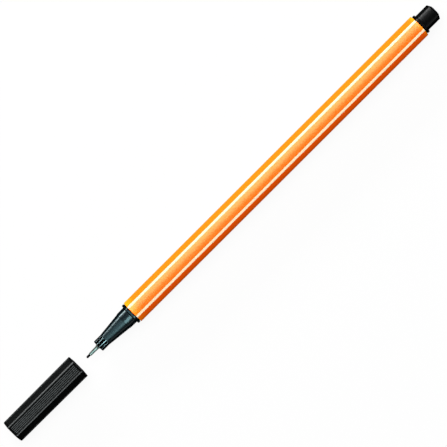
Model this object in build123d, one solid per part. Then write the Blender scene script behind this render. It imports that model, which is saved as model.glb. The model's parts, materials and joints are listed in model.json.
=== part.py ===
from build123d import *
import os
from math import atan2, cos, degrees, radians, sqrt

# Fineliner pen with its cap drawn off and lying in line with the nib.
# Millimetres. The pen's axis runs along X with the nib towards +X, and a flat
# of the six-sided barrel faces up. Lengths along the axis are counted from the
# barrel's front face until the last step, which sets the pen on its base.

# Six-sided barrel
barrel_length = 130.0
barrel_bore = 5.6
barrel_wall = 0.775
barrel_corner_radius = 0.5

# White stripes let into the barrel's edges above and below
stripe_half_width = 0.6
stripe_edges = (60, 120, 240, 300)

# End plug
plug_flange_inset = 0.2
plug_flange_corner_radius = 1.5
plug_flange_thickness = 1.15
plug_flange_rim = 0.25
plug_post_step = 0.325
plug_post_length = 5.2
plug_post_edge = 0.2
plug_crown_diameter = 3.6
plug_crown_height = 0.65
plug_stem_length = 12.0
plug_stem_wall = 1.0
plug_core_depth = 14.0

# Front section
section_flange_inset = 0.06
section_flange_corner_radius = 1.1
section_flange_thickness = 1.1
section_flange_rim = 0.3
section_collar_step = 0.365
section_collar_length = 3.0
section_collar_draft = 0.05
section_lip = 0.13
section_taper_length = 8.25
section_stem_length = 14.0
nose_diameter = 4.1
nose_length = 3.15
nose_edge = 0.3
flute_count = 12
flute_width = 0.72
flute_depth = 0.3

# Steel ferrule and fibre nib
ferrule_length = 3.8
ferrule_flare_length = 0.9
ferrule_taper = 0.09
ferrule_tip_wall = 0.18
ferrule_stem_wall = 0.22
ferrule_stem_length = 6.0
ferrule_step_depth = 0.3
nib_tip_diameter = 0.7
nib_rod_diameter = 1.4
nib_exposed = 1.4
nib_insertion = 8.0

# Ink reservoir and the film round it
wrap_thickness = 0.1
wrap_air_gap = 0.15

# Cap
cap_wall = 0.545
cap_draft = 0.13
cap_corner_radius = 0.4
cap_end_chamfer = 0.3
cap_end_wall = 1.2
cap_mouth_chamfer = 0.15
cap_vent_diameter = 1.6
cap_vent_space = 7.1
cap_panel_border = 0.53
cap_panel_margin = 0.5
cap_panel_depth = 0.15
cap_rest_gap = 3.8

# Seal inside the cap
seal_depth = 8.5
seal_ring_thickness = 0.8
seal_wall = 0.6
seal_end_wall = 0.8
seal_nib_room = 1.2
seal_channel_count = 3
seal_channel_width = 0.8
seal_channel_depth = 0.25

# Clearances, all on the radius
stem_gap = 0.02
nib_gap = 0.02
wrap_gap = 0.02
seal_seat_gap = 0.02
cap_fit = 0.08
seal_gap = 0.1

# Diameters and radii that follow from the sizes above
barrel_across_flats = barrel_bore + 2 * barrel_wall
stem_radius = barrel_bore / 2 - stem_gap
plug_flange_across_flats = barrel_across_flats - 2 * plug_flange_inset
plug_post_radius = plug_flange_across_flats / 2 - plug_post_step
section_flange_across_flats = barrel_across_flats - 2 * section_flange_inset
collar_radius = section_flange_across_flats / 2 - section_collar_step
collar_front_radius = collar_radius - section_collar_draft
taper_radius = collar_front_radius - section_lip
nose_radius = nose_diameter / 2
nib_tip_radius = nib_tip_diameter / 2
nib_rod_radius = nib_rod_diameter / 2
ferrule_tip_radius = nib_tip_radius + nib_gap + ferrule_tip_wall
ferrule_stem_radius = nib_rod_radius + nib_gap + ferrule_stem_wall
wrap_radius = barrel_bore / 2 - wrap_air_gap
core_radius = wrap_radius - wrap_thickness - wrap_gap
cap_bore_radius = collar_radius + cap_fit
cap_mouth_across_flats = 2 * (cap_bore_radius + cap_wall)
cap_end_across_flats = cap_mouth_across_flats - 2 * cap_draft

# Stations along the axis
flange_front = section_flange_thickness
collar_front = flange_front + section_collar_length
taper_front = collar_front + section_taper_length
nose_front = taper_front + nose_length
ferrule_front = nose_front + ferrule_length
nib_front = ferrule_front + nib_exposed
plug_flange_rear = -barrel_length - plug_flange_thickness
post_rear = plug_flange_rear - plug_post_length
pen_rear = post_rear - plug_crown_height
reservoir_front = -section_stem_length
reservoir_rear = -barrel_length + plug_stem_length
cap_mouth = nib_front + cap_rest_gap
cap_travel = cap_mouth - flange_front

# Depths inside the cap, counted from its mouth
nib_depth = nib_front - flange_front
seal_end_depth = nib_depth + seal_nib_room + seal_end_wall
cap_floor_depth = seal_end_depth + cap_vent_space
cap_length = cap_floor_depth + cap_end_wall
cap_end = cap_mouth + cap_length

# The origin is under the middle of the whole pen, at the height of its lowest flat
middle = (pen_rear + cap_end) / 2
axis_height = cap_mouth_across_flats / 2
resting_place = Location((-middle, 0, axis_height))


def turned(*points):
    """A solid turned about X from the corners (x, radius) of half its outline."""
    outline = Polyline(*[(x, radius) for x, radius in points], close=True)
    return revolve(make_face(outline), Axis.X)


def bored(start, end, radius):
    """The material that a drill of this radius takes out between two stations."""
    return turned((start, 0), (start, radius), (end, radius), (end, 0))


def hexagon(across_flats, corner_radius):
    """A six-sided outline with rounded corners and a flat on top."""
    outline = RegularPolygon(across_flats / 2, 6, major_radius=False)
    return fillet(outline.vertices(), corner_radius)


def hex_prism(section, start, length):
    """A cross-section drawn out along X from a station."""
    return extrude(Plane.YZ.offset(start) * section, length)


def stripe_seat(edge):
    """The strip of cross-section across one edge of the barrel that a stripe fills."""
    corner_distance = barrel_across_flats / sqrt(3)
    stripe_depth = stripe_half_width * cos(radians(60))
    seat = Rectangle(2 * stripe_depth, 2 * stripe_half_width)
    return Rot(0, 0, edge) * Pos(corner_distance, 0) * seat


def barrel():
    section = hexagon(barrel_across_flats, barrel_corner_radius) - Circle(barrel_bore / 2)
    for edge in stripe_edges:
        section -= stripe_seat(edge)
    return hex_prism(section, -barrel_length, barrel_length)


def edge_stripe(edge):
    section = hexagon(barrel_across_flats, barrel_corner_radius) & stripe_seat(edge)
    return hex_prism(section, -barrel_length, barrel_length)


def end_plug():
    flange = hex_prism(
        hexagon(plug_flange_across_flats, plug_flange_corner_radius),
        plug_flange_rear,
        plug_flange_thickness,
    )
    flange = fillet(flange.edges().group_by(Axis.X)[0], plug_flange_rim)
    stem_front = reservoir_rear
    post = turned(
        (pen_rear, 0),
        (pen_rear, plug_crown_diameter / 2),
        (post_rear, plug_post_radius - plug_post_edge),
        (post_rear + plug_post_edge, plug_post_radius),
        (-barrel_length, plug_post_radius),
        (-barrel_length, stem_radius),
        (stem_front, stem_radius),
        (stem_front, 0),
    )
    core = bored(stem_front - plug_core_depth, stem_front, stem_radius - plug_stem_wall)
    return flange + post - core


def front_section():
    flange = hex_prism(
        hexagon(section_flange_across_flats, section_flange_corner_radius),
        0,
        section_flange_thickness,
    )
    flange = fillet(flange.edges().group_by(Axis.X)[-1], section_flange_rim)
    body = turned(
        (reservoir_front, 0),
        (reservoir_front, stem_radius),
        (0, stem_radius),
        (0, collar_radius),
        (flange_front, collar_radius),
        (collar_front, collar_front_radius),
        (collar_front, taper_radius),
        (taper_front, nose_radius),
        (nose_front - nose_edge, nose_radius),
        (nose_front, nose_radius - nose_edge),
        (nose_front, 0),
    )
    section = flange + body
    section -= bored(nose_front - ferrule_stem_length, nose_front, ferrule_stem_radius + stem_gap)
    section -= bored(reservoir_front, nose_front, nib_rod_radius + nib_gap)
    flute = Pos((taper_front + nose_front) / 2, 0, nose_radius) * Box(nose_length, flute_width, 2 * flute_depth)
    for number in range(flute_count):
        section -= Rot(number * 360 / flute_count, 0, 0) * flute
    return section


def tip_ferrule():
    neck_radius = ferrule_tip_radius + ferrule_taper
    stem_rear = nose_front - ferrule_stem_length
    flare_front = nose_front + ferrule_flare_length
    step = nose_front - ferrule_step_depth
    rear_bore = nib_rod_radius + nib_gap
    tip_bore = nib_tip_radius + nib_gap
    flare_start = (nose_front, ferrule_stem_radius)
    flare_end = (flare_front, neck_radius)
    flare = TangentArc(flare_end, flare_start, tangent=(-1, 0))
    outline = Polyline(
        flare_start,
        (stem_rear, ferrule_stem_radius),
        (stem_rear, rear_bore),
        (step, rear_bore),
        (step, tip_bore),
        (ferrule_front, tip_bore),
        (ferrule_front, ferrule_tip_radius),
        flare_end,
    )
    return revolve(make_face(outline.edges() + flare.edges()), Axis.X)


def nib():
    step = nose_front - ferrule_step_depth
    rod_rear = reservoir_front - nib_insertion
    dome_start = (nib_front - nib_tip_radius, nib_tip_radius)
    dome_end = (nib_front, 0)
    dome = TangentArc(dome_start, dome_end, tangent=(1, 0))
    outline = Polyline(
        dome_end,
        (rod_rear, 0),
        (rod_rear, nib_rod_radius),
        (step - nib_gap, nib_rod_radius),
        (step - nib_gap, nib_tip_radius),
        dome_start,
    )
    return revolve(make_face(outline.edges() + dome.edges()), Axis.X)


def ink_reservoir():
    core = bored(reservoir_rear, reservoir_front, core_radius)
    return core - bored(reservoir_front - nib_insertion - nib_gap, reservoir_front, nib_rod_radius + nib_gap)


def reservoir_wrap():
    film = bored(reservoir_rear, reservoir_front, wrap_radius)
    return film - bored(reservoir_rear, reservoir_front, wrap_radius - wrap_thickness)


def cap_shell():
    chamfered_across_flats = cap_end_across_flats - 2 * cap_end_chamfer
    outlines = (
        (cap_mouth, cap_mouth_across_flats),
        (cap_end - cap_end_chamfer, cap_end_across_flats),
        (cap_end, chamfered_across_flats),
    )
    sections = [
        Plane.YZ.offset(station) * hexagon(across_flats, cap_corner_radius)
        for station, across_flats in outlines
    ]
    shell = loft(sections, ruled=True)

    panel_length = cap_length - cap_end_chamfer - 2 * cap_panel_margin
    panel_width = cap_end_across_flats / sqrt(3) - 2 * cap_panel_border
    panel_middle = cap_mouth + cap_panel_margin + panel_length / 2
    slope = cap_draft / (cap_length - cap_end_chamfer)
    face_height = cap_mouth_across_flats / 2 - slope * (panel_middle - cap_mouth)
    tilt = degrees(atan2(slope, 1))
    panel = Rot(0, tilt, 0) * Box(panel_length, panel_width, 2 * cap_panel_depth)
    for face in range(6):
        shell -= Rot(60 * face, 0, 0) * Pos(panel_middle, 0, face_height) * panel

    seat_radius = nose_radius + seal_gap + seal_wall + seal_seat_gap
    ring_rear = cap_mouth + seal_depth + seal_ring_thickness
    hollow = turned(
        (cap_mouth, 0),
        (cap_mouth, cap_bore_radius + cap_mouth_chamfer),
        (cap_mouth + cap_mouth_chamfer, cap_bore_radius),
        (ring_rear, cap_bore_radius),
        (ring_rear, seat_radius),
        (cap_mouth + cap_floor_depth, seat_radius),
        (cap_mouth + cap_floor_depth, cap_vent_diameter / 2),
        (cap_end, cap_vent_diameter / 2),
        (cap_end, 0),
    )
    return shell - hollow


def cap_inner_seal():
    ring_front = cap_mouth + seal_depth
    ring_rear = ring_front + seal_ring_thickness
    chamber_start = cap_mouth + taper_front - flange_front
    chamber_radius = nose_radius + seal_gap
    tube_radius = chamber_radius + seal_wall
    seal_end = cap_mouth + seal_end_depth
    slope = (taper_radius - nose_radius) / section_taper_length
    lip_radius = chamber_radius + slope * (chamber_start - ring_front)
    seal = turned(
        (ring_front, lip_radius),
        (ring_front, cap_bore_radius - seal_seat_gap),
        (ring_rear, cap_bore_radius - seal_seat_gap),
        (ring_rear, tube_radius),
        (seal_end, tube_radius),
        (seal_end, 0),
        (seal_end - seal_end_wall, 0),
        (seal_end - seal_end_wall, chamber_radius),
        (chamber_start, chamber_radius),
    )
    channel_length = seal_end - ring_front
    channel_middle = (ring_front + seal_end) / 2
    for number in range(seal_channel_count):
        turn = Rot(number * 360 / seal_channel_count, 0, 0)
        along_tube = Box(channel_length, seal_channel_width, 2 * seal_channel_depth)
        across_ring = Box(seal_ring_thickness, seal_channel_width, 2 * seal_channel_depth)
        seal -= turn * Pos(channel_middle, 0, tube_radius) * along_tube
        seal -= turn * Pos((ring_front + ring_rear) / 2, 0, cap_bore_radius) * across_ring
    return seal


pieces = {
    "barrel": barrel(),
    "end_plug": end_plug(),
    "front_section": front_section(),
    "tip_ferrule": tip_ferrule(),
    "nib": nib(),
    "ink_reservoir": ink_reservoir(),
    "reservoir_wrap": reservoir_wrap(),
    "cap_shell": cap_shell(),
    "cap_inner_seal": cap_inner_seal(),
}
for number, edge in enumerate(stripe_edges, start=1):
    pieces[f"edge_stripe_{number}"] = edge_stripe(edge)

os.makedirs("parts", exist_ok=True)
for name, piece in pieces.items():
    export_step(resting_place * piece, f"parts/{name}.step")

print(f"length with the cap off {cap_end - pen_rear:.2f} mm, closed {cap_end - pen_rear - cap_travel:.2f} mm")
print(f"cap mouth at x {cap_mouth - middle:.3f}, seal ring at x {cap_mouth - middle + seal_depth:.3f} mm")
print(f"axis height {axis_height:.3f}, barrel front at x {-middle:.3f}, cap travel {cap_travel:.3f} mm")
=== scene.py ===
# %% [markdown]
# # A fineliner pen with its cap drawn off
# The pen is an orange six-sided tube with white stripes on its edges. A black plug closes its rear,
# and a blue-black front section carries a steel sleeve with a fibre tip. The ribbed black cap lies
# in line with the tip.
# This lesson takes the plain model of the pen as a fixed frame, models each visible piece over it,
# and gives every surface a finish. All lengths are in metres, and +X runs from the plug to the cap.

# %% Load the frame
import json
import math

import bmesh
import bpy
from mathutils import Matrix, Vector

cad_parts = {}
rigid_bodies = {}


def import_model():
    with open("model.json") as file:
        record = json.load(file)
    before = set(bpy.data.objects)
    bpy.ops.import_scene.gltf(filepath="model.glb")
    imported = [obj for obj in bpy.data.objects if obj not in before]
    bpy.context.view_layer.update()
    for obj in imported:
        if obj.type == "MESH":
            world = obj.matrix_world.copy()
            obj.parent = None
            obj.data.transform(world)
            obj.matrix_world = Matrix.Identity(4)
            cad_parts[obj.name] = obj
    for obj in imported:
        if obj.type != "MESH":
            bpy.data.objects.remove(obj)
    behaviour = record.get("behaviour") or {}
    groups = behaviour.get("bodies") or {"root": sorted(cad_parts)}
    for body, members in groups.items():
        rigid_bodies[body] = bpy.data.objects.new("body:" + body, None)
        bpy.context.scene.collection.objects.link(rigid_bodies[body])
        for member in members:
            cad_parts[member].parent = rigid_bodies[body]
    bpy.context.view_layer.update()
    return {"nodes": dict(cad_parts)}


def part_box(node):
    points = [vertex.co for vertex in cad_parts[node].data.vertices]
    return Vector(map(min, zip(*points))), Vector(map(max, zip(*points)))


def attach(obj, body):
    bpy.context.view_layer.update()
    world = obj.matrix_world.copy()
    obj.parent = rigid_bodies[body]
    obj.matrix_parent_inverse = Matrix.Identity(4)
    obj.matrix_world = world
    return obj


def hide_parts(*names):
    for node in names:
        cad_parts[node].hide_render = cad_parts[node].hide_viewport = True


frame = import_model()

MM = 0.001
scene = bpy.context.scene
scene.view_settings.view_transform = "Standard"
barrel_low, barrel_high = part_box("barrel")
AXIS_Z = (barrel_low.z + barrel_high.z) / 2
print("nodes in the frame:", len(frame["nodes"]), "axis height in mm:", round(AXIS_Z / MM, 3))

# %% [markdown]
# ## Camera
# The photograph looks straight down on the pen, which lies across it from corner to corner. A camera
# far away with a long lens shows the pen almost without perspective, as the photograph does. The
# scale comes from the closed pen, 168 mm, which spans 524 pixels.

# %% Aim the camera
IMAGE_SIDE = 447
CLOSED_LENGTH = 168 * MM
CLOSED_PIXELS = 524
PEN_MIDDLE = (223.66, 221.2)
PEN_TURN = math.radians(135.05)
LENS = 300.0
SENSOR = 36.0

pixel = CLOSED_LENGTH / CLOSED_PIXELS
view_distance = IMAGE_SIDE * pixel * LENS / SENSOR
view_right = Vector((math.cos(PEN_TURN), math.sin(PEN_TURN), 0))
view_up = Vector((-math.sin(PEN_TURN), math.cos(PEN_TURN), 0))
aim = -view_right * (PEN_MIDDLE[0] - IMAGE_SIDE / 2) * pixel
aim -= view_up * (IMAGE_SIDE / 2 - PEN_MIDDLE[1]) * pixel
aim.z = AXIS_Z + view_distance
bpy.ops.object.select_all(action="DESELECT")
bpy.ops.object.camera_add(location=aim, rotation=(0, 0, PEN_TURN))
camera = bpy.context.object
camera.name = "camera"
camera.data.lens = LENS
camera.data.sensor_width = SENSOR
scene.camera = camera
print("camera", round(view_distance, 3), "m above the pen")

# %% [markdown]
# ## Shader nodes by name
# Every finish below is a small tree of shader nodes. In the shader editor they would be added and
# wired by hand. Here one helper adds a node and feeds its sockets with plain numbers or with the
# outputs of other nodes.

# %% Helpers for shader nodes
def add_node(tree, kind, inputs=None, **settings):
    """Adds a shader node and feeds its sockets with plain values or with other nodes' outputs."""
    made = tree.nodes.new("ShaderNode" + kind)
    for name, value in settings.items():
        setattr(made, name, value)
    for socket, value in (inputs or {}).items():
        if isinstance(value, bpy.types.NodeSocket):
            tree.links.new(value, made.inputs[socket])
        else:
            made.inputs[socket].default_value = value
    return made


def new_material(name):
    """An empty material with its tree and its Principled shader, ready for the other nodes."""
    material = bpy.data.materials.new(name)
    material.use_nodes = True
    tree = material.node_tree
    return material, tree, tree.nodes["Principled BSDF"]


def feed(tree, shader, outputs):
    """Links outputs of other nodes to the sockets of a shader."""
    for socket, output in outputs.items():
        tree.links.new(output, shader.inputs[socket])

# %% Helpers for colours and masks
def rgb(red, green, blue):
    """A linear colour with full alpha."""
    return (red, green, blue, 1.0)


def blend_colours(tree, factor, first, second):
    """A colour between two others, by a factor that changes over the surface."""
    return add_node(tree, "Mix", {0: factor, 6: first, 7: second}, data_type="RGBA").outputs[2]


def noise(tree, vector, scale, detail, roughness=0.5, distortion=0.0):
    """A cloudy noise, as one value."""
    return add_node(tree, "TexNoise", {
        "Vector": vector, "Scale": scale, "Detail": detail, "Roughness": roughness, "Distortion": distortion,
    }).outputs["Fac"]


def map_range(tree, value, source, target=(0.0, 1.0)):
    """Moves a value from one range to another, and keeps it inside."""
    return add_node(tree, "MapRange", {
        "Value": value, "From Min": source[0], "From Max": source[1],
        "To Min": target[0], "To Max": target[1],
    }).outputs["Result"]


def seen_rays(tree):
    """A mask: 1 for what the camera, a reflection or clear glass sees, and 0 for all other light."""
    path = add_node(tree, "LightPath").outputs
    seen = add_node(tree, "Math", {0: path["Is Camera Ray"], 1: path["Is Glossy Ray"]}, operation="MAXIMUM")
    seen = add_node(tree, "Math", {0: seen.outputs[0], 1: path["Is Transmission Ray"]}, operation="MAXIMUM")
    return seen.outputs[0]

# %% [markdown]
# ## Table
# The pen lies on a wide white table. Lamps that make it white would drown the pen, so part of its
# white is a glow that only the camera and reflections see, as on a light table. The rest is plain
# and diffuse: it catches the pen's soft shadow and throws a little light back.

# %% Table
TABLE_SIDE = 12.0
TABLE_DROP = 0.02 * MM
TABLE_GLOW = 0.93
TABLE_BOUNCE = rgb(0.25, 0.25, 0.25)
TABLE_TONES = (rgb(0.95, 0.95, 0.95), rgb(0.97, 0.97, 0.97))

bpy.ops.object.select_all(action="DESELECT")
bpy.ops.mesh.primitive_plane_add(size=TABLE_SIDE, location=(0, 0, -TABLE_DROP))
table = bpy.context.object
table.name = "table"
table_white, tree, shader = new_material("table_white")
coords = add_node(tree, "TexCoord").outputs["Object"]
tone = add_node(tree, "ValToRGB", {"Fac": noise(tree, coords, 900.0, detail=3.0)})
for stop, colour in zip(tone.color_ramp.elements, TABLE_TONES):
    stop.color = colour
shader.inputs["Roughness"].default_value = 0.9
shader.inputs["Specular IOR Level"].default_value = 0.0

seen = seen_rays(tree)
feed(tree, shader, {"Base Color": blend_colours(tree, seen, TABLE_BOUNCE, tone.outputs["Color"])})
share = add_node(tree, "Math", {0: seen, 1: TABLE_GLOW}, operation="MULTIPLY").outputs[0]
glow = add_node(tree, "Emission", {"Color": rgb(1, 1, 1), "Strength": 1.0}).outputs["Emission"]
lit_table = add_node(tree, "MixShader", {0: share, 1: shader.outputs["BSDF"], 2: glow})
tree.links.new(lit_table.outputs["Shader"], tree.nodes["Material Output"].inputs["Surface"])
table.data.materials.append(table_white)
print("table", TABLE_SIDE, "m wide")

# %% [markdown]
# ## Lamps
# The lamps are strips that lie along the pen, as in a studio, so that they draw even highlights
# along its whole length. Point lamps would only make spots. Each is set by its level: how bright it
# alone makes a white card that faces it. A low key lamp stands on the side that the photograph
# shows bright, and a wide soft box over the pen lights the dark pieces without showing in them.

# %% A helper for lamps, and the main lamps
def strip_lamp(name, tilt, length, width, level, colour=(1, 1, 1), along=0.0, distance=0.9):
    """An area lamp, long along the pen, tilted from overhead towards -Y by an angle in degrees."""
    angle = math.radians(tilt)
    place = Vector((along, -distance * math.sin(angle), distance * math.cos(angle)))
    bpy.ops.object.select_all(action="DESELECT")
    bpy.ops.object.light_add(type="AREA", location=place, rotation=(angle, 0, 0))
    lamp = bpy.context.object
    lamp.name = name
    lamp.data.shape = "RECTANGLE"
    lamp.data.size = length
    lamp.data.size_y = width
    lamp.data.energy = 4 * math.pi * distance ** 2 * level
    lamp.data.color = colour
    lamp.visible_camera = False
    return lamp


key_lamp = strip_lamp("key_lamp", 74, length=0.8, width=0.12, level=0.8, along=-0.2, distance=0.8)
overhead = strip_lamp("overhead", 20, length=1.0, width=1.0, level=0.8, distance=1.2)
overhead.visible_glossy = False
print("main lamps:", key_lamp.name, overhead.name)

# %% [markdown]
# Black plastic and steel get their look from what they mirror. A photographer sets pale cards round
# them for that, and so does this lesson: dim lamps that only show as reflections. Where a card shows
# depends on which way a surface leans. The taper leans forward, so its card stands further along the
# pen than the collar's. The cards for the front section are blue-green, as its highlights are.

# %% Cards that only show as reflections
COOL = (0.9, 1.0, 1.02)
GREENISH = (0.85, 1.0, 0.96)
PALE_BLUE = (0.76, 1.0, 1.04)
BLUE = (0.54, 1.0, 1.07)
DEEP_BLUE = (0.52, 1.0, 1.13)

cap_box = strip_lamp("cap_box", 4, length=0.28, width=0.3, level=0.062, colour=COOL, along=0.22)
ridge_card = strip_lamp("ridge_card", 60, length=0.25, width=0.2, level=0.04, along=0.03)
collar_card = strip_lamp("collar_card", -23, length=0.14, width=0.56, level=0.2, colour=BLUE, along=0.11)
taper_card = strip_lamp("taper_card", -5, length=0.16, width=1.3, level=0.102, colour=DEEP_BLUE, along=0.31)
side_card = strip_lamp(
    "side_card", 84, length=0.34, width=0.34, level=0.58, colour=PALE_BLUE, along=0.08, distance=0.8
)
flank_card = strip_lamp("flank_card", 44, length=0.16, width=0.5, level=0.014, colour=DEEP_BLUE, along=0.31)
sleeve_card = strip_lamp("sleeve_card", 2, length=0.16, width=0.5, level=0.2, colour=GREENISH, along=0.16)
cards = (cap_box, ridge_card, collar_card, taper_card, side_card, flank_card, sleeve_card)
for card in cards:
    card.visible_diffuse = False
print("cards:", [card.name for card in cards])

# %% [markdown]
# A warm box overhead lays a pale haze on the upper half of the barrel's top face. The fills do the
# opposite of the cards: they light a surface and never show in it. One lifts the near side of the
# cap. The red one grazes the barrel's far side, which therefore darkens towards its lower edge, and
# the pale one keeps the stripe on that side white.

# %% Warm box and fills
warm_box = strip_lamp("warm_box", 13, length=0.8, width=0.4, level=0.45, colour=(1, 0.95, 0.42))
cap_fill = strip_lamp("cap_fill", 72, length=0.4, width=0.3, level=0.8, along=0.08)
red_fill = strip_lamp("red_fill", 12, length=0.8, width=0.2, level=1.2, colour=(1, 0.03, 0.02))
pale_fill = strip_lamp("pale_fill", -40, length=0.8, width=0.2, level=0.55, colour=(1, 0.86, 0.84))
fills = (cap_fill, red_fill, pale_fill)
for fill in fills:
    fill.visible_glossy = False
print("fills:", [fill.name for fill in fills])

# %% [markdown]
# The sky is almost black overhead, so that the gloss mirrors the lamps and little else. At the
# horizon it is white to the eye, so that the table's far edge doesn't show in a low view.

# %% Sky
SKY = 0.03
HORIZON = 0.1

sky = bpy.data.worlds.new("studio")
scene.world = sky
sky.use_nodes = True
tree = sky.node_tree
background = tree.nodes["Background"]
background.inputs["Color"].default_value = rgb(1, 1, 1)
direction = add_node(tree, "TexCoord").outputs["Generated"]
height = add_node(tree, "SeparateXYZ", {"Vector": direction}).outputs["Z"]
level = map_range(tree, height, (HORIZON / 2, HORIZON), (1.0, SKY))
strength = add_node(tree, "Mix", {0: seen_rays(tree), 2: SKY, 3: level}).outputs[0]
feed(tree, background, {"Strength": strength})
print("sky", SKY, "overhead, white below a slope of", HORIZON / 2)

# %% [markdown]
# ## Rings: how the pieces are shaped
# Nearly every piece of a pen is a ring drawn along one axis: a hexagon for the barrel and the cap,
# a circle for the rest. So each piece starts as a wire ring, and is grown station by station: the
# ring is extruded along the axis, then scaled about it. A lathe profile and Spin would do for the
# round ones, but rings also pass from a hexagon to a circle within one closed mesh.

# %% Pick parts of the open piece
AXIS_POINT = (0, 0, AXIS_Z)
QUARTER_TURN = math.radians(90)


def edit_mesh():
    """The mesh of the piece that is open for editing."""
    return bmesh.from_edit_mesh(bpy.context.object.data)


def pick(kind, test):
    """Selects only the points, edges or faces of the open piece that pass a test."""
    bpy.ops.mesh.select_mode(type=kind)
    bpy.ops.mesh.select_all(action="DESELECT")
    mesh = edit_mesh()
    parts = {"VERT": mesh.verts, "EDGE": mesh.edges, "FACE": mesh.faces}[kind]
    for part in parts:
        if test(part):
            part.select_set(True)
    mesh.select_flush_mode()
    bmesh.update_edit_mesh(bpy.context.object.data)


def count_picked(parts):
    """How many of these points, edges or faces are selected."""
    return sum(1 for part in parts if part.select)


def radius_of(point):
    """How far a point lies from the pen's axis."""
    return math.hypot(point.y, point.z - AXIS_Z)


def turn_of(point):
    """The angle of a point round the pen's axis, in degrees, from +Y through the top."""
    return math.degrees(math.atan2(point.z - AXIS_Z, point.y)) % 360

# %% Grow rings along the axis
def scale_ring(factor):
    """Scales what is selected about the pen's axis."""
    bpy.ops.transform.resize(value=(1, factor, factor), center_override=AXIS_POINT)


def grow_ring(start, stations):
    """Extrudes the selected ring through stations of place and size, and returns the last one."""
    x, size = start
    for next_x, next_size in stations:
        bpy.ops.mesh.extrude_region_move(TRANSFORM_OT_translate={"value": (next_x - x, 0, 0)})
        scale_ring(next_size / size)
        x, size = next_x, next_size
    return x, size


def round_off(radius):
    """Makes the selected ring a circle of this radius."""
    bpy.ops.transform.tosphere(value=1.0)
    sizes = [radius_of(point.co) for point in edit_mesh().verts if point.select]
    scale_ring(radius * len(sizes) / sum(sizes))


def arc_stations(centre_x, centre_radius, arc_radius, start, end, steps=4):
    """Stations along an arc of a profile, its angles in degrees from the axis outwards."""
    stations = []
    for step in range(1, steps + 1):
        angle = math.radians(start + (end - start) * step / steps)
        x = centre_x + arc_radius * math.cos(angle)
        stations.append((x, centre_radius + arc_radius * math.sin(angle)))
    return stations

# %% Start a piece from a ring
NEARLY_WHOLE = 0.9


def open_piece(name):
    """Names the object that was just added, puts its place in its mesh and opens it for editing."""
    piece = bpy.context.object
    piece.name = name
    piece.data.name = name
    bpy.ops.object.transform_apply(location=True, rotation=True, scale=True)
    bpy.ops.object.mode_set(mode="EDIT")
    bpy.ops.mesh.select_all(action="SELECT")
    return piece


def add_circle(x, radius, sides, fill="NOTHING"):
    """Adds a circle of wire round the pen's axis, or a polygon if it has few sides."""
    bpy.ops.mesh.primitive_circle_add(
        vertices=sides, radius=radius, fill_type=fill,
        location=(x, 0, AXIS_Z), rotation=(0, QUARTER_TURN, 0),
    )


def round_ring(name, radius, x, sides):
    """A circle of wire round the pen's axis, open for editing."""
    bpy.ops.object.select_all(action="DESELECT")
    add_circle(x, radius, sides)
    return open_piece(name)


def hex_ring(name, across_flats, corner_radius, x, flat_steps, corner_steps):
    """A hexagon of wire round the pen's axis, flat on top, with rounded corners."""
    side = across_flats / math.sqrt(3)
    bpy.ops.object.select_all(action="DESELECT")
    add_circle(x, side, 6, fill="NGON")
    piece = open_piece(name)
    cut = corner_radius * math.tan(math.radians(30))
    bpy.ops.mesh.bevel(offset=cut, segments=corner_steps, affect="VERTICES")
    bpy.ops.mesh.delete(type="ONLY_FACE")
    if flat_steps > 1:
        pick("EDGE", lambda edge: edge.calc_length() > NEARLY_WHOLE * (side - 2 * cut))
        bpy.ops.mesh.subdivide(number_cuts=flat_steps - 1)
    bpy.ops.mesh.select_mode(type="VERT")
    bpy.ops.mesh.select_all(action="SELECT")
    return piece

# %% Close a piece and mark its finishes
def close_piece(piece, sharp_angle=30):
    """Turns the faces outwards, leaves edit mode and smooths all but the sharp edges."""
    bpy.ops.mesh.select_mode(type="VERT")
    bpy.ops.mesh.select_all(action="SELECT")
    bpy.ops.mesh.normals_make_consistent(inside=False)
    open_edges = sum(1 for edge in edit_mesh().edges if len(edge.link_faces) != 2)
    bpy.ops.object.mode_set(mode="OBJECT")
    bpy.ops.object.shade_smooth_by_angle(angle=math.radians(sharp_angle))
    print(piece.name, "faces", len(piece.data.polygons), "open edges", open_edges)
    return piece


def mark_finish(piece, number, test):
    """Gives the faces whose middle passes a test the piece's finish of this number."""
    for face in piece.data.polygons:
        if test(face.center):
            face.material_index = number

# %% [markdown]
# ## Barrel
# The barrel is drawn from orange plastic, with white plastic run in along four of its edges in the
# same pass, so the two colours meet flush. Its faces are very slightly crowned, which is why a lamp
# overhead lights one half of a face and not the other. To Sphere with a small share bows all six
# sides of the ring at once, which is easier to control than a sculpted bulge.

# %% Outline of the barrel
BARREL_CORNER = 1.1 * MM
BARREL_EDGE = 0.1 * MM
CROWN = 0.2
FLAT_STEPS = 10
CORNER_STEPS = 8

across_flats = barrel_high.z - barrel_low.z
corner_reach = (barrel_high.y - barrel_low.y) / 2


def barrel_outline(name):
    """The barrel's crowned outline, as a ring at its rear end."""
    ring = hex_ring(name, across_flats, BARREL_CORNER, barrel_low.x, FLAT_STEPS, CORNER_STEPS)
    bpy.ops.transform.tosphere(value=CROWN)
    reach = max(radius_of(point.co) for point in edit_mesh().verts)
    scale_ring(corner_reach / reach)
    return ring


end_share = 1 - BARREL_EDGE / corner_reach
barrel_stations = [
    (barrel_low.x + BARREL_EDGE, 1.0),
    (barrel_high.x - BARREL_EDGE, 1.0),
    (barrel_high.x, end_share),
]
print("barrel", round((barrel_high.x - barrel_low.x) / MM, 2), "mm long")

# %% [markdown]
# The same ring gives both colours. The stripes keep only the points near its striped corners, each
# closed to a thin strip and drawn along the barrel. A stripe is a little narrower than the rounding
# of its edge, so orange shows on both shoulders. The barrel has those corners cut off straight, so
# that the two fit each other without a gap.

# %% White stripes
STRIPED_CORNERS = (60, 120, 240, 300)
STRIPE_REACH = 7.0
STRIPE_INSIDE = 5.0


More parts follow.
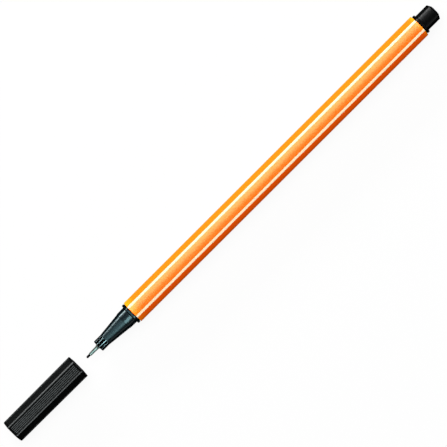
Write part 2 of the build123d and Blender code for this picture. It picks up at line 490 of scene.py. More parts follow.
def off_corner(point):
    """How many degrees a point lies from the nearest striped corner."""
    return min(abs(turn_of(point) - corner) for corner in STRIPED_CORNERS)


stripe_stock = barrel_outline("edge_strip_1")
pick("VERT", lambda point: off_corner(point.co) > STRIPE_REACH)
bpy.ops.mesh.delete(type="VERT")
for corner in STRIPED_CORNERS:
    pick("VERT", lambda point: abs(turn_of(point.co) - corner) < STRIPE_REACH)
    bpy.ops.mesh.edge_face_add()
bpy.ops.mesh.select_all(action="SELECT")
scale_ring(end_share)
grow_ring((barrel_low.x, end_share), barrel_stations)
bpy.ops.mesh.select_all(action="SELECT")
before_split = set(bpy.data.objects)
bpy.ops.mesh.separate(type="LOOSE")
close_piece(stripe_stock)
strips = [stripe_stock] + [piece for piece in bpy.data.objects if piece not in before_split]
for strip in strips[1:]:
    bpy.ops.object.select_all(action="DESELECT")
    bpy.context.view_layer.objects.active = strip
    strip.select_set(True)
    bpy.ops.object.mode_set(mode="EDIT")
    close_piece(strip)

# %% Orange tube
BARREL_BORE = 2.8 * MM

barrel_tube = barrel_outline("barrel_tube")
pick("VERT", lambda point: off_corner(point.co) < STRIPE_INSIDE)
bpy.ops.mesh.dissolve_verts()
bpy.ops.mesh.select_all(action="SELECT")
scale_ring(end_share)
grow_ring((barrel_low.x, end_share), barrel_stations)
bpy.ops.mesh.extrude_region_move()
round_off(BARREL_BORE)
grow_ring((barrel_high.x, 1.0), [(barrel_low.x, 1.0)])
pick("EDGE", lambda edge: len(edge.link_faces) == 1)
bpy.ops.mesh.bridge_edge_loops()
close_piece(barrel_tube, sharp_angle=20)

# %% [markdown]
# ## Flanges
# The plug and the front section both start with a six-sided flange that sits against the barrel's
# end, and go on as a round body. A narrow groove between barrel and flange shows as a dark line,
# deepened by painted shade: on the front section the groove takes a darker black than the rest. A
# hexagon ring makes the groove, the flange and its rounded rim, a circle is added in the flange's
# outer face, and a bridge joins the two, so each piece stays one closed mesh. The stem goes into
# the barrel, where nobody sees it.

# %% Bridge a ring to a circle
SAME_PLACE = 0.001 * MM
SAME_RADIUS = 0.01 * MM


def at_station(x):
    """A test for edges that lie in the plane of a station and still have an open side."""
    def test(edge):
        return len(edge.link_faces) < 2 and all(abs(point.co.x - x) < SAME_PLACE for point in edge.verts)
    return test


def bridge_to_circle(x, radius, sides):
    """Joins the open ring at a station to a new circle in its plane, which stays selected."""
    add_circle(x, radius, sides)
    pick("EDGE", at_station(x))
    bpy.ops.mesh.bridge_edge_loops()
    pick("VERT", lambda point: abs(point.co.x - x) < SAME_PLACE
         and abs(radius_of(point.co) - radius) < SAME_RADIUS)

# %% A flange with a round body
GROOVE_DEPTH = 0.25 * MM
GROOVE_WIDTH = 0.28 * MM
STEM_RADIUS = 2.75 * MM
STEM_LENGTH = 6.0 * MM
RIM_STEPS = 4
FLANGE_FLAT_STEPS = 6
FLANGE_CORNER_STEPS = 10


def flanged_piece(name, seat, outwards, body_radius, sides, across_flats, corner_radius, thickness, rim):
    """A flange against the barrel's end with its stem, left open at the ring of its round body."""
    half = across_flats / 2
    piece = hex_ring(name, across_flats, corner_radius, seat, FLANGE_FLAT_STEPS, FLANGE_CORNER_STEPS)
    groove_share = 1 - GROOVE_DEPTH / half
    scale_ring(groove_share)
    groove_end = seat + outwards * GROOVE_WIDTH
    rim_start = thickness - rim
    stations = [(groove_end, groove_share), (groove_end, 1.0), (seat + outwards * rim_start, 1.0)]
    for step in range(1, RIM_STEPS + 1):
        angle = QUARTER_TURN * step / RIM_STEPS
        along = rim_start + rim * math.sin(angle)
        stations.append((seat + outwards * along, 1 - rim * (1 - math.cos(angle)) / half))
    face, _ = grow_ring((seat, groove_share), stations)

    pick("EDGE", at_station(seat))
    bpy.ops.mesh.extrude_region_move()
    round_off(STEM_RADIUS)
    grow_ring((seat, 1.0), [(seat - outwards * STEM_LENGTH, 1.0)])
    bpy.ops.mesh.edge_face_add()
    bridge_to_circle(face, body_radius, sides)
    return piece, face

# %% [markdown]
# ## End plug
# The stopper at the rear is moulded in black plastic: a flange, a plain post that the cap can be
# pushed onto, and a bevelled end with a shallow dimple where the plastic was let into the mould.
# The post is a profile of lines and arcs, through which the flange's ring is grown.

# %% Model the end plug
PLUG_FLANGE = {
    "across_flats": 6.75 * MM, "corner_radius": 1.5 * MM, "thickness": 1.15 * MM, "rim": 0.25 * MM,
}
POST_RADIUS = 3.05 * MM
POST_FILLET = 0.12 * MM
POST_EDGE = 0.2 * MM
POST_SIDES = 96
BEVEL_HEIGHT = 0.65 * MM
BEVEL_RADIUS = 1.8 * MM
BEVEL_EDGE = 0.12 * MM
DIMPLE_RADIUS = 0.7 * MM
DIMPLE_DEPTH = 0.15 * MM
DIMPLE_FLOOR = 0.49 * MM
PIT_RADIUS = 0.14 * MM
PIT_DEPTH = 0.18 * MM
GROOVE_REACH = 1.1 * GROOVE_WIDTH
# The dull finish is also darker than the cap and the section: painted shade in their recesses.
DULL_SHADED_FINISH = 1

pen_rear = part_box("end_plug")[0].x
post_rear = pen_rear + BEVEL_HEIGHT
post_root = POST_RADIUS + POST_FILLET
rear_plug, plug_face = flanged_piece("rear_plug", barrel_low.x, -1, post_root, POST_SIDES, **PLUG_FLANGE)
profile = arc_stations(plug_face - POST_FILLET, post_root, POST_FILLET, 0, -90)
profile.append((post_rear + POST_EDGE, POST_RADIUS))
profile += arc_stations(post_rear + POST_EDGE, POST_RADIUS - POST_EDGE, POST_EDGE, 90, 165)
profile += [
    (pen_rear + BEVEL_EDGE, BEVEL_RADIUS + BEVEL_EDGE),
    (pen_rear + BEVEL_EDGE / 4, BEVEL_RADIUS),
    (pen_rear, BEVEL_RADIUS - BEVEL_EDGE),
    (pen_rear, DIMPLE_RADIUS),
    (pen_rear + DIMPLE_DEPTH, DIMPLE_FLOOR),
    (pen_rear + PIT_DEPTH, PIT_RADIUS),
]
grow_ring((plug_face, post_root), profile)
bpy.ops.mesh.merge(type="COLLAPSE")
close_piece(rear_plug)
mark_finish(rear_plug, DULL_SHADED_FINISH, lambda middle: 0 < barrel_low.x - middle.x < GROOVE_REACH)

# %% [markdown]
# ## Front section
# The grip end is moulded in blue-black plastic and polished: a flange, a short collar and a long
# taper. A smoothed surface leans its shading towards its neighbours, which would spread one card's
# reflection over collar and taper. So both have an extra ring close to each end, which holds the
# shading straight, as a support loop does in hand modelling.

# %% Model the collar and the taper
SECTION_FLANGE = {
    "across_flats": 7.03 * MM, "corner_radius": 1.1 * MM, "thickness": 1.1 * MM, "rim": 0.3 * MM,
}
SECTION_SIDES = 120
FILLET = 0.12 * MM
COLLAR_RADIUS = 3.15 * MM
COLLAR_FRONT_RADIUS = 3.1 * MM
COLLAR_LENGTH = 3.0 * MM
COLLAR_EDGE = 0.08 * MM
SUPPORT = 0.05 * MM
TAPER_RADIUS = 2.97 * MM
TAPER_LENGTH = 8.25 * MM
TAPER_FILLET = 0.02 * MM
TAPER_START = 0.1 * MM
TAPER_SLOPE = 0.11
NOSE_RADIUS = 2.1 * MM
NECK_LENGTH = 0.3 * MM
NECK_STEP = 0.05 * MM

collar_root = COLLAR_RADIUS + FILLET
grip_section, section_face = flanged_piece(
    "grip_section", barrel_high.x, 1, collar_root, SECTION_SIDES, **SECTION_FLANGE
)
collar_front = section_face + COLLAR_LENGTH
taper_front = collar_front + TAPER_LENGTH
edge_start = collar_front - COLLAR_EDGE
profile = arc_stations(section_face + FILLET, collar_root, FILLET, 180, 270)
profile += [
    (section_face + FILLET + SUPPORT, COLLAR_RADIUS),
    (edge_start - SUPPORT, COLLAR_FRONT_RADIUS),
    (edge_start, COLLAR_FRONT_RADIUS),
]
profile += arc_stations(edge_start, COLLAR_FRONT_RADIUS - COLLAR_EDGE, COLLAR_EDGE, 90, 0, steps=3)
profile += [
    (collar_front + TAPER_FILLET, TAPER_RADIUS + TAPER_FILLET),
    (collar_front + TAPER_START, TAPER_RADIUS),
    (collar_front + TAPER_START + SUPPORT, TAPER_RADIUS - TAPER_SLOPE * SUPPORT),
    (taper_front - NECK_LENGTH, NOSE_RADIUS + NECK_STEP),
    (taper_front, NOSE_RADIUS),
]
grow_ring((section_face, collar_root), profile)
print("taper from", round(collar_front / MM, 2), "to", round(taper_front / MM, 2), "mm")

# %% [markdown]
# Behind the tip the section has a fluted nose, on which the cap's seal closes. The flutes are made
# in the ring itself: at the nose's rear the ring is doubled in place, the points of the flutes are
# drawn towards the axis, and the fluted ring is then extruded to the front. That gives clean walls
# with a little draft, as a mould needs. A row of cut boxes would do it too, with a rougher mesh.

# %% Flutes and end of the nose
NOSE_LENGTH = 3.15 * MM
NOSE_EDGE = 0.3 * MM
FLUTES = 12
FLUTE_TURN = 95.0
FLUTE_FLOOR = 10.0
FLUTE_DEPTH = 0.3 * MM
SLEEVE_BORE = 0.95 * MM
SLEEVE_SOCKET = 1.5 * MM


def in_flute(point):
    """Whether a point lies in one of the flutes, the first of which faces almost up."""
    pitch = 360 / FLUTES
    off_middle = (turn_of(point) - FLUTE_TURN + pitch / 2) % pitch - pitch / 2
    return abs(off_middle) < FLUTE_FLOOR


nose_front = taper_front + NOSE_LENGTH
bpy.ops.mesh.extrude_region_move()
edit_mesh().verts.index_update()
nose_ring = {point.index for point in edit_mesh().verts if point.select}
pick("VERT", lambda point: point.index in nose_ring and in_flute(point.co))
print("points in flutes", count_picked(edit_mesh().verts))
scale_ring(1 - FLUTE_DEPTH / NOSE_RADIUS)
pick("VERT", lambda point: point.index in nose_ring)
profile = [(nose_front - NOSE_EDGE, NOSE_RADIUS)]
profile += arc_stations(nose_front - NOSE_EDGE, NOSE_RADIUS - NOSE_EDGE, NOSE_EDGE, 90, 0)
grow_ring((taper_front, NOSE_RADIUS), profile)
bpy.ops.mesh.extrude_region_move()
round_off(SLEEVE_BORE)
grow_ring((nose_front, 1.0), [(nose_front - SLEEVE_SOCKET, 1.0)])
bpy.ops.mesh.edge_face_add()
close_piece(grip_section)

# %% [markdown]
# The edges of the real ribs are worn round and catch the light from all sides. A bevel would need
# many small faces for that. Clearing the sharp mark on those edges rounds only the shading, which is
# enough at this size. The ribs' tops shine. The flutes and the groove at the flange are dull, and
# their darker black is painted shade.

# %% Rib edges and finishes of the section
RIB_FINISH = 2
RIB_TOP = NOSE_RADIUS - 0.05 * MM

bpy.ops.object.mode_set(mode="EDIT")
pick("EDGE", lambda edge: edge.calc_length() > NOSE_LENGTH / 2
     and all(point.co.x > taper_front - SAME_RADIUS for point in edge.verts)
     and all(radius_of(point.co) > RIB_TOP for point in edge.verts))
print("rounded rib edges", count_picked(edit_mesh().edges))
bpy.ops.mesh.mark_sharp(clear=True)
bpy.ops.object.mode_set(mode="OBJECT")
# Painted shade: the groove and the flutes take the dull finish, a darker black than the section.
mark_finish(grip_section, DULL_SHADED_FINISH, lambda middle: 0 < middle.x - barrel_high.x < GROOVE_REACH)
mark_finish(grip_section, DULL_SHADED_FINISH, lambda middle: taper_front < middle.x < nose_front)
mark_finish(grip_section, RIB_FINISH, lambda middle: taper_front < middle.x < nose_front - NOSE_EDGE
            and radius_of(middle) > RIB_TOP)

# %% [markdown]
# ## Steel sleeve and fibre tip
# A drawn steel sleeve flares out where it leaves the nose and guides the tip, a thin rod of bonded
# fibre with a rounded end. Both are plain turned shapes, so a circle grown through a profile of
# lines and arcs is all they need. The sleeve's front rim is rolled inwards, and its rear end is
# hidden in the nose.

# %% Model the sleeve
SLEEVE_SIDES = 64
SLEEVE_ROOT = 1.2 * MM
FLARE_LENGTH = 0.9 * MM
FLARE_RADIUS = 0.94 * MM
NECK_RADIUS = 0.64 * MM
SLEEVE_TIP = 0.55 * MM
SLEEVE_RIM = 0.06 * MM
TIP_BORE = 0.42 * MM
TIP_BORE_DEPTH = 0.8 * MM
BORE_ROUND = 0.02 * MM
BORE_ROUND_DEPTH = 0.05 * MM

sleeve_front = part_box("tip_ferrule")[1].x
flare_rise = FLARE_RADIUS - NECK_RADIUS
flare_arc = (FLARE_LENGTH ** 2 + flare_rise ** 2) / (2 * flare_rise)
flare_start = 270 - math.degrees(math.asin(FLARE_LENGTH / flare_arc))
steel_sleeve = round_ring("steel_sleeve", FLARE_RADIUS, nose_front - SLEEVE_ROOT, SLEEVE_SIDES)
bpy.ops.mesh.edge_face_add()
profile = [(nose_front, FLARE_RADIUS)]
flare_centre = (nose_front + FLARE_LENGTH, NECK_RADIUS + flare_arc)
profile += arc_stations(*flare_centre, flare_arc, flare_start, 270, steps=8)
profile.append((sleeve_front - SLEEVE_RIM, SLEEVE_TIP))
profile += arc_stations(sleeve_front - SLEEVE_RIM, SLEEVE_TIP - SLEEVE_RIM, SLEEVE_RIM, 90, 0)
profile += [
    (sleeve_front, TIP_BORE + BORE_ROUND),
    (sleeve_front - BORE_ROUND_DEPTH, TIP_BORE),
    (sleeve_front - TIP_BORE_DEPTH, TIP_BORE),
]
grow_ring((nose_front - SLEEVE_ROOT, FLARE_RADIUS), profile)
close_piece(steel_sleeve)

# %% Model the tip
TIP_SIDES = 32
TIP_ROOT = 0.7 * MM
TIP_RADIUS = 0.4 * MM

tip_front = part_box("nib")[1].x
fibre_tip = round_ring("fibre_tip", TIP_RADIUS, sleeve_front - TIP_ROOT, TIP_SIDES)
bpy.ops.mesh.edge_face_add()
profile = [(tip_front - TIP_RADIUS, TIP_RADIUS)]
profile += arc_stations(tip_front - TIP_RADIUS, 0, TIP_RADIUS, 90, 6, steps=7)
grow_ring((sleeve_front - TIP_ROOT, TIP_RADIUS), profile)
bpy.ops.mesh.merge(type="COLLAPSE")
close_piece(fibre_tip)

# %% [markdown]
# ## Cap
# The cap is a drafted six-sided shell of black plastic, a little narrower at its closed end, with a
# small rounded chamfer there. It is one hexagon ring, grown from the mouth to the end. One step at
# each corner is enough, because the real edges are crisp and catch a thin line of light.

# %% Shell of the cap
CAP_CORNER = 0.26 * MM
CAP_MOUTH_FLAT = 7.55 * MM
CAP_END_FLAT = 7.29 * MM
CAP_LIP = 0.08 * MM
CAP_CHAMFER = 0.3 * MM
CHAMFER_KNEE = 0.4 * CAP_CHAMFER

cap_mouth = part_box("cap_shell")[0].x
cap_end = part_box("cap_shell")[1].x
lip_flat = CAP_MOUTH_FLAT - 2 * CAP_LIP
cap_body = hex_ring("cap_body", lip_flat, CAP_CORNER, cap_mouth, flat_steps=1, corner_steps=1)
grow_ring((cap_mouth, lip_flat), [
    (cap_mouth + CAP_LIP, CAP_MOUTH_FLAT),
    (cap_end - CAP_CHAMFER, CAP_END_FLAT),
    (cap_end - CHAMFER_KNEE, CAP_END_FLAT - 2 * CHAMFER_KNEE),
    (cap_end, CAP_END_FLAT - 2 * CAP_CHAMFER),
])
bpy.ops.mesh.select_all(action="SELECT")
bpy.ops.mesh.normals_make_consistent(inside=False)
print("cap", round((cap_end - cap_mouth) / MM, 2), "mm long")

# %% [markdown]
# Each face of the cap has a shallow panel with fine ribs along it, for grip. A texture of lines would
# look flat in a low view, so the ribs are modelled. Inset faces give the panels: the first inset
# leaves the border, the second one sinks the floor. The panel's side walls shine as its ribs do, and
# what lies across its ends is dull and painted a darker black as shade, so that no bright frame runs
# round it.

# %% Panels of the cap
PLAIN_FINISH = 0
PANEL_BORDER = 0.12 * MM
MOUTH_BORDER = 0.25 * MM
PANEL_WALL = 0.36 * MM
PANEL_DEPTH = 0.16 * MM
LONG_FACE = 20 * MM
WIDE_FACE = 1 * MM


def longest_edge(face):
    """The length of a face's longest edge."""
    return max(edge.calc_length() for edge in face.edges)


def mark_new_faces(first_new, side_finish):
    """Gives the faces that an inset added a finish along the panels, and at their ends a dull one whose
    darker black is painted shade.
    """
    edit_mesh().faces.index_update()
    for face in edit_mesh().faces:
        if face.index >= first_new and not face.select:
            face.material_index = side_finish if longest_edge(face) > LONG_FACE else DULL_SHADED_FINISH


pick("FACE", lambda face: longest_edge(face) > LONG_FACE
     and min(edge.calc_length() for edge in face.edges) > WIDE_FACE)
border_start = len(edit_mesh().faces)
bpy.ops.mesh.inset(thickness=PANEL_BORDER, use_individual=True)
mark_new_faces(border_start, PLAIN_FINISH)
inner_faces = {face.index for face in edit_mesh().faces if face.select}
pick("VERT", lambda point: any(face.index in inner_faces for face in point.link_faces)
     and point.co.x < cap_mouth + LONG_FACE)
bpy.ops.transform.translate(value=(MOUTH_BORDER - PANEL_BORDER, 0, 0))
pick("FACE", lambda face: face.index in inner_faces)
wall_start = len(edit_mesh().faces)
bpy.ops.mesh.inset(thickness=PANEL_WALL, depth=-PANEL_DEPTH, use_individual=True)
mark_new_faces(wall_start, RIB_FINISH)
print("panels", len(inner_faces))

# %% [markdown]
# The short ends of each panel's floor are subdivided, which splits the floor into strips. Every
# other strip is then raised by one more inset, narrower at the top, as a mould's draft makes it.

# %% Ribs of the cap
RIBS = 6
RIB_HEIGHT = 0.05 * MM
RIB_DRAFT = 0.03 * MM
SAME_PLANE = 0.02 * MM


def across_panel(face):
    """How far the middle of a face lies to the side of the middle of its panel."""
    middle = face.calc_center_median()
    return radius_of(middle) * math.sin(math.radians(turn_of(middle) % 60 - 30))


def panel_height(face):
    """How far the plane of a panel lies from the pen's axis, at the middle of a face."""
    return math.sqrt(radius_of(face.calc_center_median()) ** 2 - across_panel(face) ** 2)


floors = [face for face in edit_mesh().faces if face.select]
floor_height = panel_height(floors[0])
floor_ends = {round(point.co.x, 6) for face in floors for point in face.verts}
pick("EDGE", lambda edge: all(round(point.co.x, 6) in floor_ends for point in edge.verts)
     and edge.calc_length() < LONG_FACE)
bpy.ops.mesh.subdivide(number_cuts=2 * RIBS - 2)


def is_strip(face):
    """Whether a face is one of the strips that a panel's floor was split into."""
    return longest_edge(face) > LONG_FACE and abs(panel_height(face) - floor_height) < SAME_PLANE


pick("FACE", is_strip)
strip_faces = [face for face in edit_mesh().faces if face.select]
# The floors between the ribs take the dull finish, whose darker black is painted shade.
for face in strip_faces:
    face.material_index = DULL_SHADED_FINISH
offsets = [across_panel(face) for face in strip_faces]
strip_width = (max(offsets) - min(offsets)) / (2 * RIBS - 2)
pick("FACE", lambda face: is_strip(face) and round(across_panel(face) / strip_width) % 2 == 0)
print("ribs", count_picked(edit_mesh().faces), "strip", round(strip_width / MM, 3), "mm")
bpy.ops.mesh.inset(thickness=RIB_DRAFT, depth=RIB_HEIGHT, use_individual=True)
for face in edit_mesh().faces:
    if face.select:
        face.material_index = RIB_FINISH

# %% [markdown]
# Inside, the cap has a round bore for the front section, a seat for the soft seal, and a vent in its
# end, through which air passes if someone swallows a cap. The mouth is bridged to a circle, from
# which all three are grown, and the last ring is bridged to the outside of the end.

# %% Bore and vent of the cap
BORE_SIDES = 72
CAP_BORE = 3.23 * MM
MOUTH_CHAMFER = 0.15 * MM
SEAL_SEAT = 2.77 * MM
SEAT_DEPTH = 9.3 * MM
END_WALL = 1.2 * MM
VENT_RADIUS = 0.8 * MM

mouth_radius = CAP_BORE + MOUTH_CHAMFER
bridge_to_circle(cap_mouth, mouth_radius, BORE_SIDES)
grow_ring((cap_mouth, mouth_radius), [
    (cap_mouth + MOUTH_CHAMFER, CAP_BORE),
    (cap_mouth + SEAT_DEPTH, CAP_BORE),
    (cap_mouth + SEAT_DEPTH, SEAL_SEAT),
    (cap_end - END_WALL, SEAL_SEAT),
    (cap_end - END_WALL, VENT_RADIUS),
    (cap_end, VENT_RADIUS),
])
pick("EDGE", at_station(cap_end))
bpy.ops.mesh.bridge_edge_loops()
close_piece(cap_body, sharp_angle=20)

# %% [markdown]
# ## Effects that several finishes share
# Moulded plastic is never quite even: its skin has a fine grain, its gloss changes in soft patches,
# and drawn or ribbed pieces carry faint lines along their length. Each effect is a node group with
# its own inputs, so that every material sets its own scale, and gives out plain values only.

# %% A group for the skin of moulded plastic
def new_group(name, inputs, outputs):
    """An empty shader node group with number inputs, a Vector input and number outputs."""
    group = bpy.data.node_groups.new(name, "ShaderNodeTree")
    group.interface.new_socket("Vector", in_out="INPUT", socket_type="NodeSocketVector")
    for socket in inputs:
        group.interface.new_socket(socket, in_out="INPUT", socket_type="NodeSocketFloat")
    for socket in outputs:
        group.interface.new_socket(socket, in_out="OUTPUT", socket_type="NodeSocketFloat")
    source = group.nodes.new("NodeGroupInput")
    sink = group.nodes.new("NodeGroupOutput")
    return group, source.outputs, sink.inputs


moulded_skin, given, result = new_group("moulded_skin", ["Grain Scale", "Patch Scale"], ["Grain", "Patch"])
grain = noise(moulded_skin, given["Vector"], given["Grain Scale"], detail=3.0, roughness=0.6)
patch = noise(moulded_skin, given["Vector"], given["Patch Scale"], detail=2.0, distortion=0.4)
moulded_skin.links.new(grain, result["Grain"])
moulded_skin.links.new(patch, result["Patch"])
print("group:", moulded_skin.name)

# %% Groups for drawn lines and for scuffs
drawn_lines, given, result = new_group("drawn_lines", ["Fineness"], ["Lines"])
stretched = add_node(drawn_lines, "Mapping", {"Vector": given["Vector"], "Scale": (0.01, 1.0, 1.0)})
lines = noise(drawn_lines, stretched.outputs["Vector"], given["Fineness"], detail=4.0, roughness=0.7)
drawn_lines.links.new(lines, result["Lines"])

scuff_marks, given, result = new_group("scuff_marks", ["Density"], ["Scuffs"])
slanted = add_node(scuff_marks, "Mapping", {
    "Vector": given["Vector"], "Rotation": (0.3, 0.5, 0.9), "Scale": (0.08, 1.0, 1.0),
})
strokes = noise(scuff_marks, slanted.outputs["Vector"], given["Density"], detail=2.0, distortion=0.6)
scuff_marks.links.new(map_range(scuff_marks, strokes, (0.66, 0.74)), result["Scuffs"])
print("groups:", drawn_lines.name, scuff_marks.name)

# %% [markdown]
# A white table mirrors brightly in the flanks of a glossy piece. The photograph shows none of that,
# so the gloss is a coat that fades out where a surface turns away from the eye. Layer Weight tells
# how far it has turned.

# %% Helpers for finishes
FADE_START = 0.22
FADE_END = 0.32


def use_group(tree, group, **values):
    """Places a node group on the piece's Object coordinates, with its own values."""
    placed = add_node(tree, "Group", node_tree=group)
    coords = add_node(tree, "TexCoord").outputs["Object"]
    tree.links.new(coords, placed.inputs["Vector"])
    for socket, value in values.items():
        placed.inputs[socket.replace("_", " ").title()].default_value = value
    return placed.outputs


def spread(tree, value, low, high):
    """Maps the middle range of a noise to values from low to high."""
    return map_range(tree, value, (0.3, 0.7), (low, high))


def relief(tree, height, strength, depth):
    """A normal that raises and lowers the surface by a height that changes over it."""
    bump = add_node(tree, "Bump", {"Height": height, "Strength": strength, "Distance": depth})
    return bump.outputs["Normal"]


def gloss(tree, shader, grain, weight, roughness, index=1.5):
    """A clear gloss over a finish, broken up by its grain, that fades out at grazing angles."""
    facing = add_node(tree, "LayerWeight", {"Blend": 0.5}).outputs["Facing"]
    fade = map_range(tree, facing, (FADE_START, FADE_END), (1.0, 0.0))
    broken = spread(tree, grain, 0.85 * weight, weight)
    amount = add_node(tree, "Math", {0: fade, 1: broken}, operation="MULTIPLY").outputs["Value"]
    feed(tree, shader, {"Coat Weight": amount})
    shader.inputs["Coat Roughness"].default_value = roughness
    shader.inputs["Coat IOR"].default_value = index
    shader.inputs["Specular IOR Level"].default_value = 0.0

# %% [markdown]
# ## Orange and white of the barrel
# The orange plastic is glossy and a little translucent: light that enters on the bright side comes
# out redder on the shaded side, and near the open ends the plastic glows golden. Subsurface
# scattering could give that. Here the red fill lights the shaded side, and the glow at both ends is
# painted light: the colour blends to gold there, which is easier to set and renders without grain.
# Both plastics carry faint lines from being drawn.

# %% A helper for drawn plastic
# Gold painted at the barrel's ends stands in for the glow of light through the cut plastic.
PAINTED_GLOW_GOLD = rgb(0.94, 0.54, 0.018)
LINE_DEPTH = 0.01 * MM


def painted_glow_mask(tree, end, reach):
    """A mask that rises to 1 towards an end of the barrel, where gold is painted in for glowing light."""
    coords = add_node(tree, "TexCoord").outputs["Object"]
    along = add_node(tree, "SeparateXYZ", {"Vector": coords}).outputs["X"]
    return map_range(tree, along, (end + reach, end))


def drawn_plastic(name, tones, patch_scale, line_strength, roughness, coat, painted_glow_ends=()):
    """Plastic with faint lines along it, whose colour can blend to a painted golden glow towards its ends.
    """
    material, tree, shader = new_material(name)
    skin = use_group(tree, moulded_skin, grain_scale=5000.0, patch_scale=patch_scale)
    lines = use_group(tree, drawn_lines, fineness=3500.0)["Lines"]
    colour = blend_colours(tree, skin["Patch"], *tones)
    for end, reach in painted_glow_ends:
        colour = blend_colours(tree, painted_glow_mask(tree, end, reach), colour, PAINTED_GLOW_GOLD)
    feed(tree, shader, {
        "Base Color": colour,
        "Roughness": spread(tree, lines, *roughness),
        "Normal": relief(tree, lines, line_strength, LINE_DEPTH),
    })
    gloss(tree, shader, skin["Grain"], **coat)
    return material

# %% Orange and white plastic
ORANGE = (rgb(0.95, 0.30, 0.0125), rgb(0.93, 0.285, 0.011))
CREAM = (rgb(0.97, 0.92, 0.80), rgb(0.95, 0.90, 0.77))
REAR_PAINTED_GLOW = 1.5 * MM
FRONT_PAINTED_GLOW = 3.4 * MM

# The orange blends to the painted golden glow over these reaches at both ends.
orange = drawn_plastic(
    "orange_plastic", ORANGE, patch_scale=90.0, line_strength=0.12, roughness=(0.2, 0.27),
    coat={"weight": 0.8, "roughness": 0.2, "index": 2.0},
    painted_glow_ends=[(barrel_low.x, REAR_PAINTED_GLOW), (barrel_high.x, -FRONT_PAINTED_GLOW)],
)
white = drawn_plastic(
    "white_plastic", CREAM, patch_scale=120.0, line_strength=0.1, roughness=(0.22, 0.3),
    coat={"weight": 0.3, "roughness": 0.22},
)
print("finishes:", orange.name, white.name)

# %% [markdown]
# ## Black plastics
# The black pieces differ in tone and gloss: the plug is satin, the cap has crisp bright edges, and
# the front section is polished, with a blue-green cast. The ribs of nose and cap have a gloss of
# their own. Grooves, flutes and panel floors have none, as a dull mould leaves them, and they take
# a deeper black than the cap and the section, which is painted shade. All six finishes come from
# one function, since they differ only in these values.

# %% Black plastics
DEEP_BLACK = (rgb(0.002, 0.0023, 0.0023), rgb(0.0035, 0.0038, 0.0038))
CAP_BLACK = (rgb(0.009, 0.01, 0.01), rgb(0.012, 0.013, 0.013))
SLATE = (rgb(0.0025, 0.0075, 0.01), rgb(0.0035, 0.0095, 0.0125))
GRAIN_DEPTH = 0.01 * MM


def dark_plastic(name, tones, grain_scale, grain_strength, weight, roughness, index=1.5):
    """A moulded dark plastic with a grain, gloss patches and a few scuffs."""
    material, tree, shader = new_material(name)
    skin = use_group(tree, moulded_skin, grain_scale=grain_scale, patch_scale=260.0)
    scuffs = use_group(tree, scuff_marks, density=900.0)["Scuffs"]
    patches = spread(tree, skin["Patch"], 0.4, 0.5)
    dulled = add_node(tree, "Math", {0: scuffs, 1: 0.12, 2: patches}, operation="MULTIPLY_ADD")
    feed(tree, shader, {
        "Base Color": blend_colours(tree, skin["Patch"], *tones),
        "Roughness": dulled.outputs["Value"],
        "Normal": relief(tree, skin["Grain"], grain_strength, GRAIN_DEPTH),
    })
    gloss(tree, shader, skin["Grain"], weight, roughness, index)
    return material


plug_black = dark_plastic("plug_black", DEEP_BLACK, 4000.0, 0.15, weight=0.9, roughness=0.5)
section_black = dark_plastic(
    "section_blue_black", SLATE, 3000.0, 0.05, weight=0.9, roughness=0.27, index=1.8
)
nose_ribs = dark_plastic("nose_ribs", SLATE, 3000.0, 0.05, weight=1.0, roughness=0.2, index=3.0)
# A real dull finish, with a deeper black than the cap and the section as painted shade in their recesses.
dull_shaded_black = dark_plastic("dull_shaded_black", DEEP_BLACK, 4000.0, 0.1, weight=0.0, roughness=0.5)
cap_black = dark_plastic("cap_black", CAP_BLACK, 4000.0, 0.05, weight=1.0, roughness=0.2, index=2.0)
cap_ribs = dark_plastic("cap_ribs", CAP_BLACK, 4000.0, 0.05, weight=1.0, roughness=0.3, index=1.85)
print("finishes:", plug_black.name, section_black.name, nose_ribs.name, dull_shaded_black.name)
print("finishes of the cap:", cap_black.name, cap_ribs.name)

# %% [markdown]
# ## Steel, fibre and the inner pieces
# The steel sleeve shows the fine rings of the tool that drew it, which a noise squeezed along the
# pen gives. The tip is dull fibre, soaked with ink. The soft seal in the cap, the ink rod and its
# film are seen only through the cap's mouth or not at all, and keep the frame's own shapes.

# %% Drawn steel
STEEL = (rgb(0.26, 0.30, 0.27), rgb(0.31, 0.35, 0.32))
STEEL_RIM = rgb(0.15, 0.22, 0.2)
RING_DEPTH = 0.005 * MM


def drawn_steel():
    """Drawn steel with fine rings round it."""
    material, tree, shader = new_material("drawn_steel")
    coords = add_node(tree, "TexCoord").outputs["Object"]
    squeezed = add_node(tree, "Mapping", {"Vector": coords, "Scale": (1.0, 0.03, 0.03)}).outputs["Vector"]
    rings = noise(tree, squeezed, 16000.0, detail=3.0)
    skin = use_group(tree, moulded_skin, grain_scale=9000.0, patch_scale=900.0)
    feed(tree, shader, {
        "Base Color": blend_colours(tree, skin["Patch"], *STEEL),
        "Roughness": spread(tree, rings, 0.4, 0.5),
        "Normal": relief(tree, rings, 0.2, RING_DEPTH),
    })
    shader.inputs["Metallic"].default_value = 1.0
    shader.inputs["Specular Tint"].default_value = STEEL_RIM
    return material


steel = drawn_steel()
print("finish:", steel.name)

# %% Fibre and soft plastics
FIBRE_DEPTH = 0.02 * MM
ROUGHNESS_SPREAD = 0.06


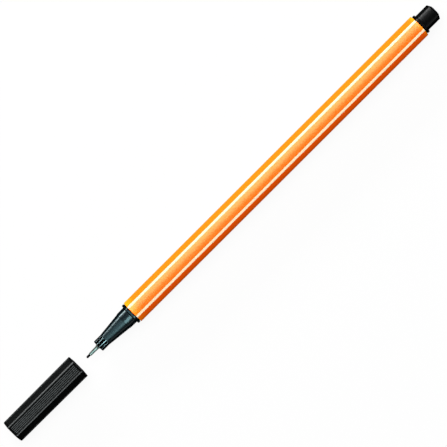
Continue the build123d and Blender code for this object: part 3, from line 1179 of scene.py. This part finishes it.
def matt_material(name, first, second, roughness, fibre_scale, fibre_strength, sheen=0.3):
    """A dull material with fibres or a soft grain along the pen."""
    material, tree, shader = new_material(name)
    skin = use_group(tree, moulded_skin, grain_scale=fibre_scale, patch_scale=0.2 * fibre_scale)
    lines = use_group(tree, drawn_lines, fineness=fibre_scale)["Lines"]
    smoothest = roughness - ROUGHNESS_SPREAD
    feed(tree, shader, {
        "Base Color": blend_colours(tree, lines, first, second),
        "Roughness": spread(tree, skin["Grain"], smoothest, roughness + ROUGHNESS_SPREAD),
        "Normal": relief(tree, lines, fibre_strength, FIBRE_DEPTH),
    })
    shader.inputs["Specular IOR Level"].default_value = sheen
    return material


tip_fibre = matt_material(
    "tip_fibre", rgb(0.002, 0.002, 0.002), rgb(0.005, 0.005, 0.005), 0.75, 9000.0, 0.5, sheen=0.05
)
seal_soft = matt_material("seal_soft", rgb(0.42, 0.42, 0.41), rgb(0.50, 0.50, 0.48), 0.6, 3000.0, 0.1)
rod_fibre = matt_material("rod_fibre", rgb(0.03, 0.03, 0.035), rgb(0.07, 0.07, 0.08), 0.85, 5000.0, 0.6)
rod_film = matt_material("rod_film", rgb(0.70, 0.70, 0.68), rgb(0.78, 0.78, 0.76), 0.35, 2500.0, 0.1)
print("finishes:", tip_fibre.name, seal_soft.name, rod_fibre.name, rod_film.name)

# %% [markdown]
# ## Dressing the pieces
# Each modelled piece takes its finishes, rides on the pen or on the cap, and hides the plain node that
# it stands for. The inner pieces only take a finish.

# %% Dress the pieces
def dress(piece, finishes, body, node):
    """Gives a piece its finishes and its place in the frame."""
    for material in finishes:
        piece.data.materials.append(material)
    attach(piece, body)
    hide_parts(node)


def finish_node(name, material):
    """Gives a node of the frame a better finish."""
    for slot in frame["nodes"][name].material_slots:
        slot.material = material


dress(barrel_tube, [orange], "pen", "barrel")
for strip in strips:
    middle = sum((point.co for point in strip.data.vertices), Vector()) / len(strip.data.vertices)
    number = 1 + min(range(4), key=lambda corner: abs(turn_of(middle) - STRIPED_CORNERS[corner]))
    strip.name = f"edge_strip_{number}_white"
    dress(strip, [white], "pen", f"edge_stripe_{number}")
dress(rear_plug, [plug_black, dull_shaded_black], "pen", "end_plug")
dress(grip_section, [section_black, dull_shaded_black, nose_ribs], "pen", "front_section")
dress(steel_sleeve, [steel], "pen", "tip_ferrule")
dress(fibre_tip, [tip_fibre], "pen", "nib")
dress(cap_body, [cap_black, dull_shaded_black, cap_ribs], "cap", "cap_shell")
finish_node("cap_inner_seal", seal_soft)
finish_node("ink_reservoir", rod_fibre)
finish_node("reservoir_wrap", rod_film)
print("dressed", [strip.name for strip in strips])

# %% [markdown]
# ## Which pieces each lamp lights
# In a studio, black flags keep a lamp off what it shouldn't light. Light linking does the same: each
# lamp and each card has a collection of the pieces that it may light or show in.

# %% Link the lamps
inner_seal = frame["nodes"]["cap_inner_seal"]
links = (
    (key_lamp, [barrel_tube, *strips, rear_plug, fibre_tip, table]),
    (overhead, [rear_plug, grip_section, steel_sleeve, fibre_tip, cap_body, inner_seal, table]),
    (cap_box, [cap_body, steel_sleeve]),
    (ridge_card, [cap_body, steel_sleeve]),
    (collar_card, [grip_section, steel_sleeve]),
    (taper_card, [grip_section, steel_sleeve]),
    (side_card, [grip_section]),
    (flank_card, [grip_section]),
    (sleeve_card, [steel_sleeve]),
    (warm_box, [barrel_tube, *strips]),
    (cap_fill, [cap_body]),
    (red_fill, [barrel_tube]),
    (pale_fill, strips),
)
for lamp, pieces in links:
    lit = bpy.data.collections.new(lamp.name + "_lights")
    for piece in pieces:
        lit.objects.link(piece)
    lamp.light_linking.receiver_collection = lit
print("linked lamps:", len(links))
